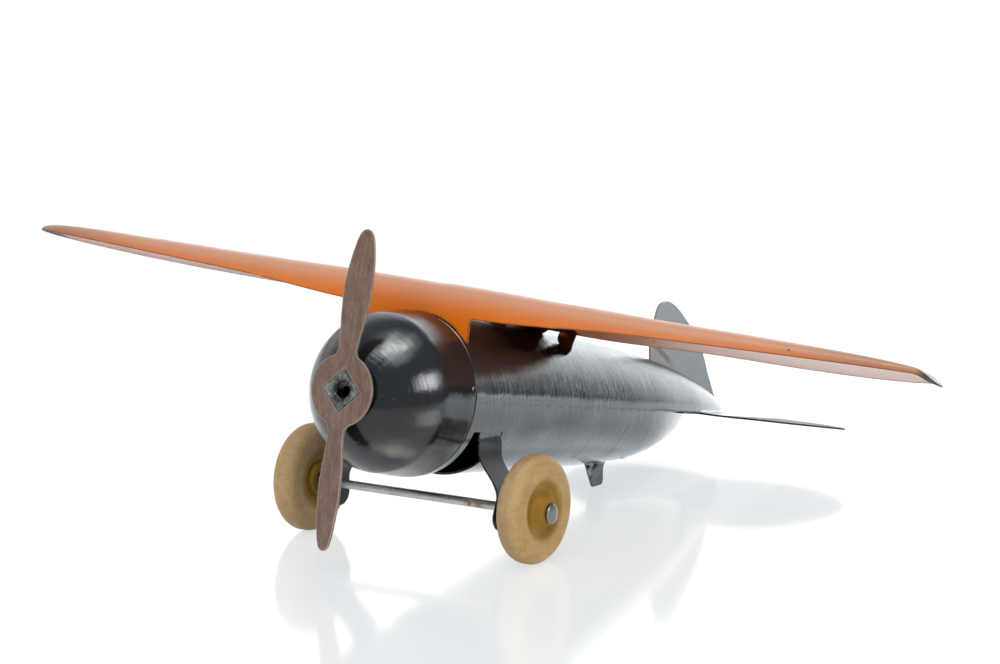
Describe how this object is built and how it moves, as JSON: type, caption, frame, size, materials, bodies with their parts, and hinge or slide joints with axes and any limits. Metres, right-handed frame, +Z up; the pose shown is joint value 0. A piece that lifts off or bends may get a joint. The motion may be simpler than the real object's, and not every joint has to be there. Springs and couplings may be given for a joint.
{
  "type": "toy airplane",
  "caption": "Pressed steel toy monoplane with a domed nose, a one-piece high wing, a spinning propeller, free wheels on a through axle and a folded tail skid.",
  "frame": {"origin": "on the floor, under the middle of the whole length and width", "axes": "+X towards the left wing tip, -Y the way the toy flies, +Z up"},
  "size_m": [0.3788, 0.2597, 0.1165],
  "materials": {
    "black_enamel": "gloss",
    "orange_enamel": "gloss",
    "rusted_sheet": "rusted",
    "worn_steel": "worn",
    "axle_steel": "tarnished",
    "turned_wood": "worn varnish"
  },
  "bodies": {
    "airframe": {"nose_cap": "black_enamel", "upper_shell": "black_enamel", "lower_shell": "black_enamel", "wing": "orange_enamel", "fin": "black_enamel", "tail_skid": "black_enamel"},
    "propeller_unit": {"propeller": "rusted_sheet", "propeller_rivet": "worn_steel", "thrust_washer": "worn_steel", "rivet_washer": "worn_steel"},
    "axle_unit": {"axle": "axle_steel", "axle_cap_left": "worn_steel", "axle_cap_right": "worn_steel", "wheel_spacer_left": "axle_steel", "wheel_spacer_right": "axle_steel"},
    "left_wheel": {"wheel_left": "turned_wood"},
    "right_wheel": {"wheel_right": "turned_wood"}
  },
  "joints": [
    {"name": "propeller_spin", "type": "hinge", "parent": "airframe", "child": "propeller_unit", "pos_m": [0, -0.1204, 0.063], "axis": [0, -0.9806, 0.1959], "continuous": true},
    {"name": "axle_spin", "type": "hinge", "parent": "airframe", "child": "axle_unit", "pos_m": [0, -0.07401, 0.0181], "axis": [1, 0, 0], "continuous": true},
    {"name": "left_wheel_spin", "type": "hinge", "parent": "airframe", "child": "left_wheel", "pos_m": [0.047, -0.07401, 0.019], "axis": [1, 0, 0], "continuous": true},
    {"name": "right_wheel_spin", "type": "hinge", "parent": "airframe", "child": "right_wheel", "pos_m": [-0.047, -0.07401, 0.019], "axis": [1, 0, 0], "continuous": true}
  ]
}
